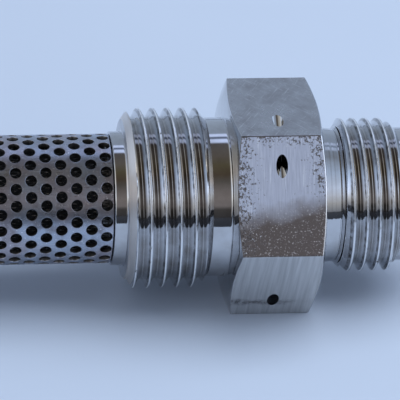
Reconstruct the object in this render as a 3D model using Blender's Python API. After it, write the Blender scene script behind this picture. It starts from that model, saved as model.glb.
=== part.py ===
"""Stainless gas diffuser fitting.

A hexagon body carries a 7/8-14 boss thread on its outlet side and a 3/4-16 thread with a 37 degree
flare nose on its inlet side. A perforated guard tube with a wire mesh and a porous sleeve inside it
stands on the outlet side, held by a cap and one screw on a core tube. A spring-loaded poppet inside the
body lets gas through from the inlet and closes when the flow stops.

Lengths are in millimetres. Every piece is drawn round the fitting's own axis: x runs along the axis from
the middle of the hexagon, positive towards the inlet, and angles start at +Y and turn towards +Z.
"""
import math
from collections import namedtuple

import bmesh
import bpy
from mathutils import Vector

MM = 0.001
INCH = 25.4
TURN = 2 * math.pi

# Hexagon
ACROSS_FLATS = 1.0 * INCH
HEX_HALF_LENGTH = 5.6
HEX_FACE_RADIUS = 12.07
HEX_CHAMFER = math.radians(15)
LOCKWIRE_RADIUS = 0.72
LOCKWIRE_BELOW_CORNER = 1.85
LOCKWIRE_CORNERS = (0, 120, 240)

# Threads: flat crests, flanks at 30 degrees to the plane across the axis
CREST_SHARE = 1 / 8
DEPTH_SHARE = 0.6134
FLANK_SHARE = DEPTH_SHARE * math.tan(math.radians(30))
BOSS_RADIUS = 7 / 8 * INCH / 2
BOSS_PITCH = INCH / 14
BOSS_CREST = -16.486
INLET_RADIUS = 3 / 4 * INCH / 2
INLET_PITCH = INCH / 16
INLET_CREST = 10.267

# Outside of the body
NECK_END = -19.85
NECK_RADIUS = 8.3
BOSS_START = -18.25
BOSS_FACE_RADIUS = 9.8
BOSS_END = -8.0
BOSS_RELIEF_RADIUS = 9.85
INLET_RELIEF_RADIUS = 8.4
INLET_START = 8.3
INLET_END = 15.7
NOSE_RADIUS = 8.3
NOSE_END = 22.3
NOSE_TIP_RADIUS = 5.55
NOSE_ANGLE = math.radians(37)
EDGE_BREAK = 0.2
FILLET = 0.35

# Inside of the body
INLET_BORE = 4.95
PASSAGE_BORE = 2.6
CHAMBER_BORE = 5.6
SCREEN_SHOULDER = 13.5
CHAMBER_SHOULDER = 6.2
RING_GROOVE_DEPTH = 0.55
SCREEN_GROOVE = (14.3, 15.4)
RETAINER_GROOVE = (-12.5, -11.3)
SCREEN_RING_BORE = 4.1
RETAINER_RING_BORE = 4.7
RING_OPENING = math.radians(50)

# Guard tube and what it surrounds
GUARD_END = -20.0
GUARD_RADIUS = 8.0
GUARD_WALL = 0.7
GUARD_LENGTH = 23.6
HOLE_DIAMETER = 1.42
HOLES_ROUND = 24
HOLE_ROWS = 12
ROW_SPACING = 1.84
FIRST_ROW = 0.8
HOLE_PHASE = math.radians(5.5)
GUARD_FAR_END = GUARD_END - GUARD_LENGTH
MESH_INNER = 6.7
MESH_OUTER = 6.9
SLEEVE_INNER = 5.0
SLEEVE_OUTER = 5.9
GASKET_RADIUS = 6.1
GASKET_THICKNESS = 0.5
CAP_FACE = GUARD_FAR_END + 1.9
CAP_THICKNESS = 1.25
CAP_LEDGE = 6.3
CAP_RECESS = 5.5
CAP_HUB = 3.3
CAP_WEB = 0.9
WASHER_RADIUS = 3.2
WASHER_THICKNESS = 0.5
SCREW_RADIUS = 1.5
SCREW_ACROSS_FLATS = 5.5
SCREW_GRIP = 5.0
CARRIER_FLANGE = (-21.2, -20.15)
FLANGE_RADIUS = 6.2
CORE_TAIL = -14.6
CORE_MOUTH = 4.0
CORE_RADIUS = 2.6
CORE_BORE = 1.7
SIDE_HOLE_RADIUS = 0.6
SIDE_HOLE_ROWS = 6
FIRST_SIDE_HOLE = -23.2
SIDE_HOLE_SPACING = 2.3

# Running gap between pieces that touch
GAP = 0.15

# Two O-rings of one size
O_RING_RADIUS = 4.95
O_RING_SECTION = 0.5
O_RING_FLOOR = 4.3
O_RING_HALF_GROOVE = 0.7
CORE_O_RING = -16.7
SEAT_O_RING = 4.1

# Valve
SEAT_FACE = 2.6
SEAT_BORE = 2.4
LIP_FACE = 1.9
LIP_RADIUS = 3.0
STEM_RADIUS = 1.2
STEM_END = -11.8
POPPET_RADIUS = 4.2
POPPET_FRONT = 1.3
POPPET_BACK = -0.5
SEAL_POCKET = 3.8
SEAL_RADIUS = 3.5
GUIDE_THICKNESS = 1.8
PORT_CIRCLE = 3.6
PORT_RADIUS = 1.0
PORTS = 6
SPRING_RADIUS = 2.7
SPRING_WIRE = 0.6
SPRING_SEAT = -9.4
SPRING_ACTIVE_TURNS = 4

# Inlet screen
SCREEN_THICKNESS = 0.4
SCREEN_HOLE_CIRCLE = 1.7
SCREEN_HOLE_RADIUS = 0.65

# The whole: the hexagon stands on one flat, and the length is centred on the origin
SCREW_HEAD_END = GUARD_FAR_END - 4.1
HEX_X = -(SCREW_HEAD_END + NOSE_END) / 2
AXIS_Z = ACROSS_FLATS / 2

BODY_STEPS = 30
STEPS = 24


def clear_scene():
    for old in list(bpy.data.objects):
        bpy.data.objects.remove(old, do_unlink=True)


def metal(name, colour, roughness, metallic=1.0):
    """A plain Principled material."""
    material = bpy.data.materials.new(name)
    material.use_nodes = True
    shader = material.node_tree.nodes["Principled BSDF"]
    shader.inputs["Base Color"].default_value = (*colour, 1.0)
    shader.inputs["Roughness"].default_value = roughness
    shader.inputs["Metallic"].default_value = metallic
    material.diffuse_color = (*colour, 1.0)
    return material


def soft(name, colour, roughness):
    """A plain material that isn't metal."""
    return metal(name, colour, roughness, metallic=0.0)


def empty(name, location=(0, 0, 0), parent=None):
    marker = bpy.data.objects.new(name, None)
    marker.location = location
    marker.parent = parent
    bpy.context.scene.collection.objects.link(marker)
    return marker


def add_object(name, bm, material, parent):
    """Turn a bmesh into a named object that hangs on its parent's axis."""
    bmesh.ops.recalc_face_normals(bm, faces=bm.faces[:])
    mesh = bpy.data.meshes.new(name)
    bm.to_mesh(mesh)
    bm.free()
    mesh.shade_smooth()
    mesh.set_sharp_from_angle(angle=math.radians(25))
    mesh.materials.append(material)
    piece = bpy.data.objects.new(name, mesh)
    piece.parent = parent
    bpy.context.scene.collection.objects.link(piece)
    return piece


def cut(piece, cutter, name):
    """Take the cutter's shape out of the piece."""
    cutter.hide_render = True
    cutter.display_type = "WIRE"
    boolean = piece.modifiers.new(name, "BOOLEAN")
    boolean.operation = "DIFFERENCE"
    boolean.solver = "EXACT"
    boolean.object = cutter


def point(x, radius, angle):
    return (x * MM, radius * math.cos(angle) * MM, radius * math.sin(angle) * MM)


def circle(x, radius):
    """A section that is the same at every angle."""
    return lambda angle: (x, radius)


def hexagon(x, across_flats):
    """A sharp hexagon across the axis, with a corner at +Y."""
    return lambda angle: (x, hexagon_radius(across_flats, angle))


def hexagon_radius(across_flats, angle):
    return across_flats / 2 / math.cos(angle % (TURN / 6) - TURN / 12)


def chamfered_hexagon(end, face_radius, across_flats):
    """The curve where a chamfer that starts at a face of this radius runs out on the flats."""
    def section(angle):
        radius = hexagon_radius(across_flats, angle)
        setback = (radius - face_radius) * math.tan(HEX_CHAMFER)
        return (end - math.copysign(setback, end), radius)
    return section


def add_ring(bm, section, steps):
    angles = [TURN * step / steps for step in range(steps)]
    return [bm.verts.new(point(*section(angle), angle)) for angle in angles]


def join_rings(bm, first, second):
    for step in range(len(first)):
        after = (step + 1) % len(first)
        bm.faces.new((first[step], first[after], second[after], second[step]))


def turned(name, outline, material, parent, steps=STEPS):
    """Turn an outline of (x, radius) points round the axis. An outline that starts and ends on the
    axis makes a solid piece; any other is a closed loop and makes a ring."""
    bm = bmesh.new()
    verts = [bm.verts.new(point(x, radius, 0)) for x, radius in outline]
    edges = [bm.edges.new(pair) for pair in zip(verts, verts[1:])]
    if outline[0][1] > 0:
        edges.append(bm.edges.new((verts[-1], verts[0])))
    bmesh.ops.spin(bm, geom=verts + edges, cent=(0, 0, 0), axis=(1, 0, 0), angle=TURN, steps=steps,
                   use_merge=True)
    bmesh.ops.remove_doubles(bm, verts=bm.verts[:], dist=0.001 * MM)
    return add_object(name, bm, material, parent)


def washer(name, inner, outer, left, right, material, parent):
    outline = [(left, inner), (left, outer), (right, outer), (right, inner)]
    return turned(name, outline, material, parent)


def rubber_ring(name, x, radius, section, material, parent):
    """A ring of round section."""
    sides = [TURN * side / 8 for side in range(8)]
    outline = [(x + section * math.cos(side), radius + section * math.sin(side)) for side in sides]
    return turned(name, outline, material, parent)


def split_ring(name, inner, bore, groove_ends, material, parent):
    """A flat ring with a gap at its top, that stands in a groove of a bore."""
    left, right = groove_ends[0] + 0.2, groove_ends[1] - 0.2
    outer = bore + RING_GROOVE_DEPTH - GAP
    start = TURN / 4 + RING_OPENING / 2
    bm = bmesh.new()
    corners = [(left, inner), (left, outer), (right, outer), (right, inner)]
    verts = [bm.verts.new(point(x, radius, start)) for x, radius in corners]
    face = bm.faces.new(verts)
    bmesh.ops.spin(bm, geom=verts + list(face.edges) + [face], cent=(0, 0, 0), axis=(1, 0, 0),
                   angle=TURN - RING_OPENING, steps=STEPS)
    return add_object(name, bm, material, parent)


def rod(bm, centre, direction, radius, length, steps):
    """Add a closed cylinder to a cutter."""
    rotation = direction.to_track_quat("Z", "Y").to_matrix().to_4x4()
    rotation.translation = centre
    bmesh.ops.create_cone(bm, cap_ends=True, segments=steps, radius1=radius, radius2=radius,
                          depth=length, matrix=rotation)


def axial_holes(name, centres, radius, left, right, parent, steps=8):
    """A cutter of rods along the axis; centres are (distance from the axis, angle) pairs."""
    bm = bmesh.new()
    for distance, angle in centres:
        centre = Vector(point((left + right) / 2, distance, angle))
        rod(bm, centre, Vector((1, 0, 0)), radius * MM, (right - left) * MM, steps)
    return add_object(name, bm, None, parent)


# A thread between two plain rings. The envelope rises from start_radius to the major radius over
# start_lead, and falls to end_radius over end_lead.
Thread = namedtuple("Thread", "major pitch crest start start_radius start_lead end end_radius end_lead")

BOSS_THREAD = Thread(BOSS_RADIUS, BOSS_PITCH, BOSS_CREST, BOSS_START, BOSS_FACE_RADIUS, 0.9,
                     BOSS_END, BOSS_RELIEF_RADIUS, 1.1)
INLET_THREAD = Thread(INLET_RADIUS, INLET_PITCH, INLET_CREST, INLET_START, INLET_RELIEF_RADIUS, 1.6,
                      INLET_END, NOSE_RADIUS, 1.1)


def thread_radius(thread, x, angle):
    """The radius of a right-hand thread, trimmed by its envelope."""
    from_crest = abs(((x - thread.crest) / thread.pitch - angle / TURN + 0.5) % 1 - 0.5)
    down_flank = min(max((from_crest - CREST_SHARE / 2) / FLANK_SHARE, 0), 1)
    profile = thread.major - DEPTH_SHARE * thread.pitch * down_flank
    into_start = (x - thread.start) / thread.start_lead
    into_end = (thread.end - x) / thread.end_lead
    lead_in = thread.start_radius + (thread.major - thread.start_radius) * into_start
    run_out = thread.end_radius + (thread.major - thread.end_radius) * into_end
    return min(profile, lead_in, run_out)


def join_by_thread(bm, first, second, thread):
    """Lay helical strips between two rings. Each strip's end joins the start of the strip one turn on,
    and strips that would pass a ring stop on it."""
    steps = len(first)
    half_crest = CREST_SHARE / 2
    edges = (-half_crest, half_crest, half_crest + FLANK_SHARE, 1 - half_crest - FLANK_SHARE)
    first_turn = math.floor((thread.start - thread.crest) / thread.pitch) - 2
    last_turn = math.ceil((thread.end - thread.crest) / thread.pitch) + 1
    snap = 0.05
    made = {}

    def vert(strip, step):
        if step == steps:
            strip, step = strip + len(edges), 0
        turn, edge = divmod(strip, len(edges))
        x = thread.crest + (turn + edges[edge] + step / steps) * thread.pitch
        if x < thread.start + snap:
            return first[step]
        if x > thread.end - snap:
            return second[step]
        if (strip, step) not in made:
            angle = TURN * step / steps
            made[strip, step] = bm.verts.new(point(x, thread_radius(thread, x, angle), angle))
        return made[strip, step]

    for strip in range(first_turn * len(edges), last_turn * len(edges)):
        for step in range(steps):
            corners = (vert(strip, step), vert(strip, step + 1),
                       vert(strip + 1, step + 1), vert(strip + 1, step))
            corners = list(dict.fromkeys(corners))
            if len(corners) > 2:
                bm.faces.new(corners)


def skin(name, sections, material, parent, steps):
    """A closed skin through a loop of sections. A Thread in the list joins the sections beside it."""
    bm = bmesh.new()
    rings = [item if isinstance(item, Thread) else add_ring(bm, item, steps) for item in sections]
    for here, item in enumerate(rings):
        after = rings[(here + 1) % len(rings)]
        if isinstance(item, Thread):
            join_by_thread(bm, rings[here - 1], after, item)
        elif not isinstance(after, Thread):
            join_rings(bm, item, after)
    return add_object(name, bm, material, parent)


def body_sections():
    """The body's outline from the neck to the nose, then back through the bore."""
    cone_length = (NOSE_RADIUS - NOSE_TIP_RADIUS) / math.tan(NOSE_ANGLE)
    neck = [(NECK_END, NECK_RADIUS - EDGE_BREAK), (NECK_END + EDGE_BREAK, NECK_RADIUS),
            (BOSS_START - EDGE_BREAK, NECK_RADIUS), (BOSS_START, NECK_RADIUS + EDGE_BREAK),
            (BOSS_START, BOSS_FACE_RADIUS)]
    boss_relief = [(BOSS_END, BOSS_RELIEF_RADIUS), (-HEX_HALF_LENGTH - FILLET, BOSS_RELIEF_RADIUS),
                   (-HEX_HALF_LENGTH, BOSS_RELIEF_RADIUS + FILLET), (-HEX_HALF_LENGTH, HEX_FACE_RADIUS)]
    inlet_relief = [(HEX_HALF_LENGTH, HEX_FACE_RADIUS), (HEX_HALF_LENGTH, INLET_RELIEF_RADIUS + FILLET),
                    (HEX_HALF_LENGTH + FILLET, INLET_RELIEF_RADIUS), (INLET_START, INLET_RELIEF_RADIUS)]
    nose = [(INLET_END, NOSE_RADIUS), (NOSE_END - cone_length, NOSE_RADIUS), (NOSE_END, NOSE_TIP_RADIUS),
            (NOSE_END, INLET_BORE)]
    inlet = groove(SCREEN_GROOVE, INLET_BORE)
    inlet += [(SCREEN_SHOULDER, INLET_BORE), (SCREEN_SHOULDER, PASSAGE_BORE),
              (CHAMBER_SHOULDER, PASSAGE_BORE), (CHAMBER_SHOULDER, CHAMBER_BORE)]
    chamber = groove(RETAINER_GROOVE, CHAMBER_BORE)
    chamber += [(NECK_END + EDGE_BREAK, CHAMBER_BORE), (NECK_END, CHAMBER_BORE + EDGE_BREAK)]
    sections = [circle(*corner) for corner in neck] + [BOSS_THREAD]
    sections += [circle(*corner) for corner in boss_relief]
    sections += [chamfered_hexagon(end, HEX_FACE_RADIUS, ACROSS_FLATS)
                 for end in (-HEX_HALF_LENGTH, HEX_HALF_LENGTH)]
    sections += [circle(*corner) for corner in inlet_relief] + [INLET_THREAD]
    sections += [circle(*corner) for corner in nose + inlet + chamber]
    return sections


def groove(ends, bore):
    """A retaining ring's groove, met from its right end."""
    left, right = ends
    depth = bore + RING_GROOVE_DEPTH
    return [(right, bore), (right, depth), (left, depth), (left, bore)]


def fitting_body(material, parent):
    body = skin("fitting_body", body_sections(), material, parent, BODY_STEPS)
    corner_radius = ACROSS_FLATS / 2 / math.cos(TURN / 12)
    bm = bmesh.new()
    for corner in LOCKWIRE_CORNERS:
        angle = math.radians(corner)
        centre = Vector(point(0, corner_radius - LOCKWIRE_BELOW_CORNER, angle))
        across = Vector((0, -math.sin(angle), math.cos(angle)))
        rod(bm, centre, across, LOCKWIRE_RADIUS * MM, ACROSS_FLATS * MM / 2, 10)
    cut(body, add_object("lockwire_drills", bm, None, parent), "lockwire_holes")


def guard_tube(material, parent):
    """Two skins on one grid: rows of open cells alternate with plain bands, and each row's cells are
    half a spacing round from the last row's."""
    steps = 2 * HOLES_ROUND
    half_hole = HOLE_DIAMETER / 2
    bands = [GUARD_END]
    for row in range(HOLE_ROWS):
        middle = GUARD_END - FIRST_ROW - row * ROW_SPACING
        bands += [middle + half_hole, middle - half_hole]
    bands.append(GUARD_FAR_END)
    bm = bmesh.new()
    outer, inner = ([[bm.verts.new(point(x, radius, HOLE_PHASE + TURN * (step - 0.5) / steps))
                      for step in range(steps)] for x in bands]
                    for radius in (GUARD_RADIUS, GUARD_RADIUS - GUARD_WALL))

    def is_open(band, step):
        row, in_row = divmod(band - 1, 2)
        return 0 <= band - 1 < 2 * HOLE_ROWS and in_row == 0 and (step + row) % 2 == 0

    def wall(band, step, next_band, next_step):
        bm.faces.new((outer[band][step], outer[next_band][next_step],
                      inner[next_band][next_step], inner[band][step]))

    for band in range(len(bands) - 1):
        for step in range(steps):
            after = (step + 1) % steps
            if is_open(band, step):
                wall(band, step, band, after)
                wall(band + 1, step, band + 1, after)
                wall(band, step, band + 1, step)
                wall(band, after, band + 1, after)
                continue
            for skin_verts in (outer, inner):
                bm.faces.new((skin_verts[band][step], skin_verts[band][after],
                              skin_verts[band + 1][after], skin_verts[band + 1][step]))
    for band in (0, len(bands) - 1):
        for step in range(steps):
            wall(band, step, band, (step + 1) % steps)
    return add_object("guard_tube", bm, material, parent)


def element_pieces(materials, parent):
    """The porous sleeve between its two gaskets, and the mesh round it."""
    front = CARRIER_FLANGE[0] - GAP
    back = CAP_FACE + GAP
    sleeve_front = front - GASKET_THICKNESS - GAP
    sleeve_back = back + GASKET_THICKNESS + GAP
    inner = CORE_RADIUS + 2 * GAP
    washer("front_gasket", inner, GASKET_RADIUS, front - GASKET_THICKNESS, front, materials["seal"], parent)
    washer("rear_gasket", inner, GASKET_RADIUS, back, back + GASKET_THICKNESS, materials["seal"], parent)
    washer("porous_sleeve", SLEEVE_INNER, SLEEVE_OUTER, sleeve_back, sleeve_front, materials["porous"],
           parent)
    washer("mesh_sleeve", MESH_INNER, MESH_OUTER, CAP_FACE - 0.5, GUARD_END - 2 * GAP, materials["mesh"],
           parent)


def o_ring_groove(middle, shank):
    """An O-ring's groove in a shank, met from its right end."""
    left, right = middle - O_RING_HALF_GROOVE, middle + O_RING_HALF_GROOVE
    return [(right, shank), (right, O_RING_FLOOR), (left, O_RING_FLOOR), (left, shank)]


def core_tube(material, parent):
    """A shank for the body's bore, a flange, and a tube whose side holes let the gas out."""
    shank = CHAMBER_BORE - GAP
    flange_left, flange_right = CARRIER_FLANGE
    far = CAP_FACE + 2 * GAP
    outline = [(CORE_TAIL, shank - EDGE_BREAK), (CORE_TAIL - EDGE_BREAK, shank)]
    outline += o_ring_groove(CORE_O_RING, shank)
    outline += [(flange_right, shank), (flange_right, FLANGE_RADIUS), (flange_left, FLANGE_RADIUS),
                (flange_left, CORE_RADIUS), (far, CORE_RADIUS), (far, CORE_BORE), (flange_right, CORE_BORE),
                (flange_right + 1.55, CORE_MOUTH), (CORE_TAIL, CORE_MOUTH)]
    tube = turned("core_tube", outline, material, parent)
    bm = bmesh.new()
    for row in range(SIDE_HOLE_ROWS):
        across = Vector((0, row % 2, 1 - row % 2))
        centre = Vector((FIRST_SIDE_HOLE - SIDE_HOLE_SPACING * row, 0, 0)) * MM
        rod(bm, centre, across, SIDE_HOLE_RADIUS * MM, 3 * CORE_RADIUS * MM, 8)
    cut(tube, add_object("core_drills", bm, None, parent), "side_holes")


def end_pieces(materials, parent):
    """The cap, the screw that holds it and the washer between them."""
    inside = GUARD_FAR_END - GAP
    outside = inside - CAP_THICKNESS
    ledge = CAP_FACE - 0.7
    web = outside + CAP_WEB
    spigot = GUARD_RADIUS - GUARD_WALL - GAP
    screw_hole = SCREW_RADIUS + 0.2
    crown = [(outside + 0.8, GUARD_RADIUS), (outside + 0.2, GUARD_RADIUS - 0.25),
             (outside, GUARD_RADIUS - 0.8)]
    outline = [(CAP_FACE, CAP_RECESS), (CAP_FACE, CAP_LEDGE), (ledge, CAP_LEDGE), (ledge, spigot),
               (inside, spigot), (inside, GUARD_RADIUS), *crown, (outside, screw_hole),
               (CAP_FACE, screw_hole), (CAP_FACE, CAP_HUB), (web, CAP_HUB), (web, CAP_RECESS)]
    turned("end_cap", outline, materials["satin"], parent)
    washer_right = outside - GAP
    washer_left = washer_right - WASHER_THICKNESS
    washer("cap_washer", screw_hole, WASHER_RADIUS, washer_left, washer_right, materials["seal"], parent)
    under_head = washer_left - GAP
    hex_face = SCREW_ACROSS_FLATS / 2 * 0.93
    tip = CAP_FACE + SCREW_GRIP
    point_length = 0.4
    outline = [circle(tip, SCREW_RADIUS - point_length), circle(tip - point_length, SCREW_RADIUS),
               circle(under_head, SCREW_RADIUS), circle(under_head, hex_face),
               hexagon(under_head - 0.05, SCREW_ACROSS_FLATS),
               chamfered_hexagon(SCREW_HEAD_END, hex_face, SCREW_ACROSS_FLATS),
               circle(SCREW_HEAD_END, hex_face)]
    bm = bmesh.new()
    rings = [add_ring(bm, section, STEPS) for section in outline]
    for first, second in zip(rings, rings[1:]):
        join_rings(bm, first, second)
    bm.faces.new(rings[0])
    bm.faces.new(rings[-1])
    add_object("cap_screw", bm, materials["polished"], parent)


def valve_pieces(materials, parent, slide):
    """The seat, the poppet with its seal, the spring, its guide and the ring that holds them in."""
    bore = CHAMBER_BORE - GAP
    seat_back = CHAMBER_SHOULDER - 2 * GAP
    outline = [(seat_back, SEAT_BORE), (seat_back, bore - EDGE_BREAK), (seat_back - EDGE_BREAK, bore)]
    outline += o_ring_groove(SEAT_O_RING, bore)
    outline += [(SEAT_FACE, bore), (SEAT_FACE, LIP_RADIUS + 0.2), (LIP_FACE, LIP_RADIUS),
                (LIP_FACE, SEAT_BORE)]
    turned("valve_seat", outline, materials["polished"], parent)
    for name, middle in (("seat_o_ring", SEAT_O_RING), ("core_o_ring", CORE_O_RING)):
        rubber_ring(name, middle, O_RING_RADIUS, O_RING_SECTION, materials["rubber"], parent)

    pocket = 0.5
    collar = POPPET_BACK - 1.0
    bevel = 0.5
    stem_bevel = 0.4
    outline = [(pocket, 0), (pocket, SEAL_POCKET), (POPPET_FRONT, SEAL_POCKET),
               (POPPET_FRONT, POPPET_RADIUS), (POPPET_BACK + bevel, POPPET_RADIUS),
               (POPPET_BACK, POPPET_RADIUS - bevel), (POPPET_BACK, 2.1), (collar, 1.9), (collar, STEM_RADIUS),
               (STEM_END + stem_bevel, STEM_RADIUS), (STEM_END, STEM_RADIUS - stem_bevel), (STEM_END, 0)]
    turned("poppet", outline, materials["polished"], slide)
    seal_left, seal_right = pocket + 0.2, LIP_FACE - 2 * GAP
    outline = [(seal_right, 0), (seal_right, SEAL_RADIUS), (seal_left, SEAL_RADIUS), (seal_left, 0)]
    turned("poppet_seal", outline, materials["rubber"], slide)
    valve_spring(materials["spring"], parent)

    left, right = SPRING_SEAT - GUIDE_THICKNESS, SPRING_SEAT
    guide = washer("spring_guide", STEM_RADIUS + GAP, bore, left, right, materials["polished"], parent)
    ports = [(PORT_CIRCLE, TURN * port / PORTS) for port in range(PORTS)]
    cut(guide, axial_holes("guide_drills", ports, PORT_RADIUS, left - 1, right + 1, parent), "flow_holes")
    split_ring("valve_retaining_ring", RETAINER_RING_BORE, CHAMBER_BORE, RETAINER_GROOVE,
               materials["spring"], parent)


def valve_spring(material, parent):
    """A wound spring with one closed turn at each end."""
    clear = 0.1
    left = SPRING_SEAT + SPRING_WIRE / 2 + clear
    right = POPPET_BACK - SPRING_WIRE / 2 - clear
    closed_turn = SPRING_WIRE + 0.05
    open_turn = (right - left - 2 * closed_turn) / SPRING_ACTIVE_TURNS
    per_turn = 10
    points = []
    x = left
    for step in range((SPRING_ACTIVE_TURNS + 2) * per_turn + 1):
        points.append((x, SPRING_RADIUS, TURN * step / per_turn))
        at_end = step < per_turn or step >= (SPRING_ACTIVE_TURNS + 1) * per_turn
        x += (closed_turn if at_end else open_turn) / per_turn
    curve = bpy.data.curves.new("valve_spring", "CURVE")
    curve.dimensions = "3D"
    curve.bevel_depth = SPRING_WIRE / 2 * MM
    curve.bevel_resolution = 1
    curve.use_fill_caps = True
    spline = curve.splines.new("POLY")
    spline.points.add(len(points) - 1)
    for target, place in zip(spline.points, points):
        target.co = (*point(*place), 1)
    curve.materials.append(material)
    spring = bpy.data.objects.new("valve_spring", curve)
    spring.parent = parent
    bpy.context.scene.collection.objects.link(spring)


def inlet_pieces(materials, parent):
    """The screen on its shoulder and the ring that holds it there."""
    left = SCREEN_SHOULDER + 0.2
    right = left + SCREEN_THICKNESS
    outline = [(left, 0), (left, INLET_BORE - GAP), (right, INLET_BORE - GAP), (right, 0)]
    screen = turned("inlet_screen", outline, materials["mesh"], parent)
    holes = [(0, 0)] + [(SCREEN_HOLE_CIRCLE, TURN * hole / 6) for hole in range(6)]
    drills = axial_holes("screen_drills", holes, SCREEN_HOLE_RADIUS, left - 1, right + 1, parent)
    cut(screen, drills, "screen_holes")
    split_ring("screen_retaining_ring", SCREEN_RING_BORE, INLET_BORE, SCREEN_GROOVE,
               materials["spring"], parent)


def main():
    clear_scene()
    materials = {
        "turned": metal("turned_stainless", (0.60, 0.61, 0.63), 0.18),
        "satin": metal("satin_stainless", (0.45, 0.46, 0.48), 0.42),
        "polished": metal("bright_stainless", (0.62, 0.62, 0.63), 0.22),
        "spring": metal("spring_steel", (0.50, 0.50, 0.52), 0.30),
        "mesh": metal("woven_wire", (0.42, 0.42, 0.43), 0.38),
        "porous": soft("porous_ceramic", (0.16, 0.16, 0.17), 0.85),
        "seal": soft("ptfe", (0.82, 0.82, 0.80), 0.45),
        "rubber": soft("black_rubber", (0.03, 0.03, 0.03), 0.55),
    }
    axis = empty("fitting_axis", location=(HEX_X * MM, 0, AXIS_Z * MM))
    slide = empty("poppet_slide", parent=axis)
    fitting_body(materials["turned"], axis)
    guard_tube(materials["satin"], axis)
    element_pieces(materials, axis)
    core_tube(materials["polished"], axis)
    end_pieces(materials, axis)
    valve_pieces(materials, axis, slide)
    inlet_pieces(materials, axis)


main()
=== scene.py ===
"""Looks of the stainless gas diffuser fitting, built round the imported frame."""

import math

import bmesh
import bpy
from mathutils import Matrix, Vector


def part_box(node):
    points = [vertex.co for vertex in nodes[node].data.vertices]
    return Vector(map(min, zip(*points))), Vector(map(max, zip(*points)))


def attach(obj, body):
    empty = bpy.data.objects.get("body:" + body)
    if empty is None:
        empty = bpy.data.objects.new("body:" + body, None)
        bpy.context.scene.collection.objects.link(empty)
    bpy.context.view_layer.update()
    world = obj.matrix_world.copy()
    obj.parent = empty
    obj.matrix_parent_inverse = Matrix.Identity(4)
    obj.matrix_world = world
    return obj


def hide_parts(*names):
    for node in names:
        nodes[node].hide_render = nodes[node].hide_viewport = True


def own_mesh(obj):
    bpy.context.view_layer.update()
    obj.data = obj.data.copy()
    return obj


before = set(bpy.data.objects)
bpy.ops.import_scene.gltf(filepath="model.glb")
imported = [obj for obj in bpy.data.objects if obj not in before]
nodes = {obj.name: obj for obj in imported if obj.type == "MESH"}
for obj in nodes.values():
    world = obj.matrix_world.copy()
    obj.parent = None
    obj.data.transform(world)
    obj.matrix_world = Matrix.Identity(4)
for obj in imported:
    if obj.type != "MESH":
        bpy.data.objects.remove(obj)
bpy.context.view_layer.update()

# Lengths are in millimetres, along and round the fitting's axis: x starts at the middle of the hexagon
# and is positive towards the inlet. Angles start at +Y and turn towards +Z.
MM = 0.001
TURN = 2 * math.pi
SIXTH = TURN / 6
TWELFTH = TURN / 12
INCH = 25.4

ACROSS_FLATS = 1.0 * INCH
HEX_HALF = 5.6
HEX_FACE = 12.07
HEX_CHAMFER = math.tan(math.radians(15))
HEX_ROUNDING = 0.2
LOCKWIRE_RADIUS = 0.72
LOCKWIRE_BELOW_CORNER = 1.85
LOCKWIRE_CORNERS = (0, 120, 240)

NOSE_END = 22.3
body_low, body_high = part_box("fitting_body")
HEX_X = body_high.x / MM - NOSE_END
AXIS_Z = (body_low.z + body_high.z) / 2 / MM

BODY_STEPS = 180
FINE_STEPS = 96
ARC_STEPS = 4
DRILL_SIDES = 32
SHARP = 34      # edges with a sharper turn than this many degrees aren't smoothed over
CLOSE = 0.01


# ---- mesh tools

def place(x, radius, angle):
    """A point round the axis, in metres."""
    return Vector(((HEX_X + x) * MM, radius * math.cos(angle) * MM,
                   (AXIS_Z + radius * math.sin(angle)) * MM))


def span(node):
    """The ends of a node along the axis."""
    low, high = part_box(node)
    return low.x / MM - HEX_X, high.x / MM - HEX_X


def new_object(name, data):
    """An object in the scene."""
    item = bpy.data.objects.new(name, data)
    bpy.context.scene.collection.objects.link(item)
    return item


def outward(angle):
    """The direction off the axis at an angle."""
    return place(0, 1, angle) - place(0, 0, 0)


def even_angles(steps):
    return [TURN * step / steps for step in range(steps)]


def rounded(outline, closed=False):
    """Round the corners of an outline of (x, radius[, rounding]) points. Returns (x, radius) points."""
    points = []
    for here, corner in enumerate(outline):
        size = corner[2] if len(corner) > 2 else 0
        middle = Vector(corner[:2])
        if not size or not closed and here in (0, len(outline) - 1):
            points.append(tuple(middle))
            continue
        before = Vector(outline[here - 1][:2]) - middle
        after = Vector(outline[(here + 1) % len(outline)][:2]) - middle
        reach = size / math.tan(before.angle(after) / 2)
        start = middle + before.normalized() * min(reach, before.length * 0.45)
        end = middle + after.normalized() * min(reach, after.length * 0.45)
        for step in range(ARC_STEPS + 1):
            t = step / ARC_STEPS
            points.append(tuple(start * (1 - t) ** 2 + middle * 2 * t * (1 - t) + end * t * t))
    return points


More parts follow.
